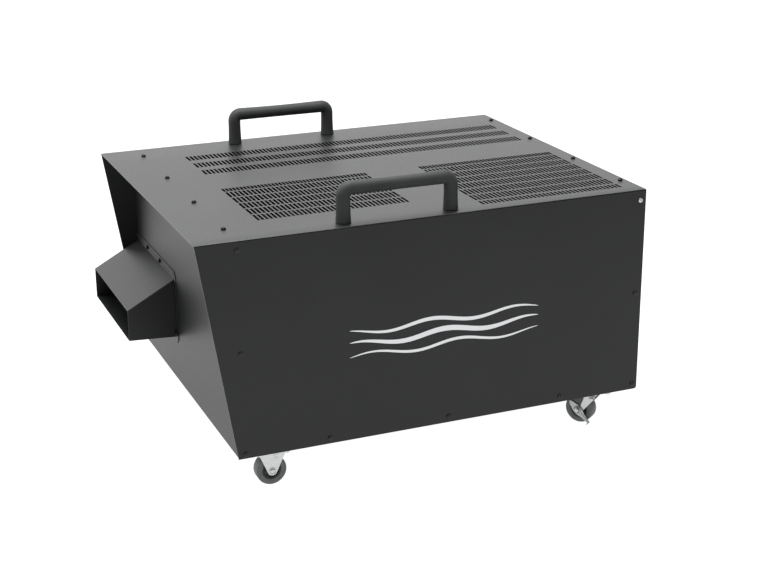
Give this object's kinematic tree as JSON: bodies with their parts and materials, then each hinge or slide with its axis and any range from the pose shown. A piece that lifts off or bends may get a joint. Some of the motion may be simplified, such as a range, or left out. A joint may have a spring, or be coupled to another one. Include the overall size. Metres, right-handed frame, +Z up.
{
  "type": "fog cooler",
  "caption": "Refrigerated fog cooler: a black sheet steel box on casters with a louvred top, carrying handles, a flat outlet duct at the front and a fog inlet at the rear.",
  "frame": {"origin": "on the floor under the middle of the whole object's box", "axes": "+X to the rear, where the fog enters, so the outlet faces -X; +Y to the right side as the front faces the viewer's left; +Z up"},
  "size_m": [0.89, 0.6578, 0.5265],
  "materials": {
    "powder_coat": "satin black powder coat with a fine texture",
    "zinc": "bright zinc plated steel",
    "grip": "matt moulded black",
    "tyre": "grey rubber",
    "hub": "matt black",
    "foam": "closed-cell insulation board",
    "fins": "bare aluminium",
    "copper": "bare copper",
    "shell": "semi-gloss black enamel",
    "plastic": "satin black",
    "rubber": "matt black",
    "black_screw": "black passivated steel"
  },
  "bodies": {
    "housing": {"cover": "powder_coat", "base_pan": "powder_coat", "front_panel": "powder_coat", "rear_panel": "powder_coat", "outlet_duct": "powder_coat", "fog_inlet_collar": "powder_coat", "fan_shroud": "zinc", "front_left_caster_fork": "zinc", "front_left_axle_bolt": "zinc", "front_right_caster_fork": "zinc", "front_right_axle_bolt": "zinc", "rear_left_caster_plate": "zinc", "rear_left_swivel_race": "zinc", "rear_right_caster_plate": "zinc", "rear_right_swivel_race": "zinc", "handle_left": "grip", "handle_right": "grip", "cold_tunnel_tray": "foam", "cold_tunnel_lid": "foam", "evaporator_coil": "fins", "condenser_coil": "fins", "run_capacitor": "fins", "discharge_line": "copper", "liquid_line": "copper", "filter_drier": "copper", "capillary_tube": "copper", "suction_line": "copper", "compressor_shell": "shell", "fan_motor": "shell", "drain_spigot": "plastic", "compressor_terminal_cover": "plastic", "power_inlet": "plastic", "power_switch_frame": "plastic", "breaker_body": "plastic", "compressor_foot_1": "rubber", "compressor_foot_2": "rubber", "compressor_foot_3": "rubber", "compressor_foot_4": "rubber", "mains_loom": "rubber", "cover_screw_left": "black_screw", "cover_screw_right": "black_screw", "cover_screw_top": "black_screw", "duct_screw": "black_screw"},
    "fan_rotor": {"fan_rotor": "plastic"},
    "power_switch_rocker": {"power_switch_rocker": "plastic"},
    "breaker_button": {"breaker_button": "plastic"},
    "front_left_wheel": {"front_left_wheel_hub": "hub", "front_left_tyre": "tyre"},
    "front_right_wheel": {"front_right_wheel_hub": "hub", "front_right_tyre": "tyre"},
    "rear_left_fork": {"rear_left_caster_fork": "zinc", "rear_left_axle_bolt": "zinc"},
    "rear_left_wheel": {"rear_left_wheel_hub": "hub", "rear_left_tyre": "tyre"},
    "rear_left_brake": {"rear_left_brake_lever": "zinc"},
    "rear_right_fork": {"rear_right_caster_fork": "zinc", "rear_right_axle_bolt": "zinc"},
    "rear_right_wheel": {"rear_right_wheel_hub": "hub", "rear_right_tyre": "tyre"},
    "rear_right_brake": {"rear_right_brake_lever": "zinc"}
  },
  "joints": [
    {"name": "fan_spin", "type": "hinge", "parent": "housing", "child": "fan_rotor", "pos_m": [0.305, -0.177, 0.215], "axis": [1, 0, 0], "continuous": true},
    {"name": "power_switch", "type": "hinge", "parent": "housing", "child": "power_switch_rocker", "pos_m": [0.4165, 0.04, 0.398], "axis": [0, 1, 0], "range_deg": [0, 18]},
    {"name": "breaker_press", "type": "slide", "parent": "housing", "child": "breaker_button", "axis": [-1, 0, 0], "range_m": [0, 0.003], "stiffness_N_per_m": 300},
    {"name": "front_left_wheel_roll", "type": "hinge", "parent": "housing", "child": "front_left_wheel", "pos_m": [-0.2885, -0.288, 0.027], "axis": [0, 1, 0], "continuous": true},
    {"name": "front_right_wheel_roll", "type": "hinge", "parent": "housing", "child": "front_right_wheel", "pos_m": [-0.2885, 0.288, 0.027], "axis": [0, 1, 0], "continuous": true},
    {"name": "rear_left_swivel", "type": "hinge", "parent": "housing", "child": "rear_left_fork", "pos_m": [0.345, -0.288, 0.05], "axis": [0, 0, 1], "continuous": true},
    {"name": "rear_left_wheel_roll", "type": "hinge", "parent": "rear_left_fork", "child": "rear_left_wheel", "pos_m": [0.33468, -0.27326, 0.027], "axis": [-0.8192, -0.5736, 0], "continuous": true},
    {"name": "rear_left_brake", "type": "hinge", "parent": "rear_left_fork", "child": "rear_left_brake", "pos_m": [0.33468, -0.27326, 0.027], "axis": [-0.8192, -0.5736, 0], "range_deg": [0, 32]},
    {"name": "rear_right_swivel", "type": "hinge", "parent": "housing", "child": "rear_right_fork", "pos_m": [0.345, 0.288, 0.05], "axis": [0, 0, 1], "continuous": true},
    {"name": "rear_right_wheel_roll", "type": "hinge", "parent": "rear_right_fork", "child": "rear_right_wheel", "pos_m": [0.33468, 0.27326, 0.027], "axis": [0.8192, -0.5736, 0], "continuous": true},
    {"name": "rear_right_brake", "type": "hinge", "parent": "rear_right_fork", "child": "rear_right_brake", "pos_m": [0.33468, 0.27326, 0.027], "axis": [0.8192, -0.5736, 0], "range_deg": [0, 32]}
  ]
}
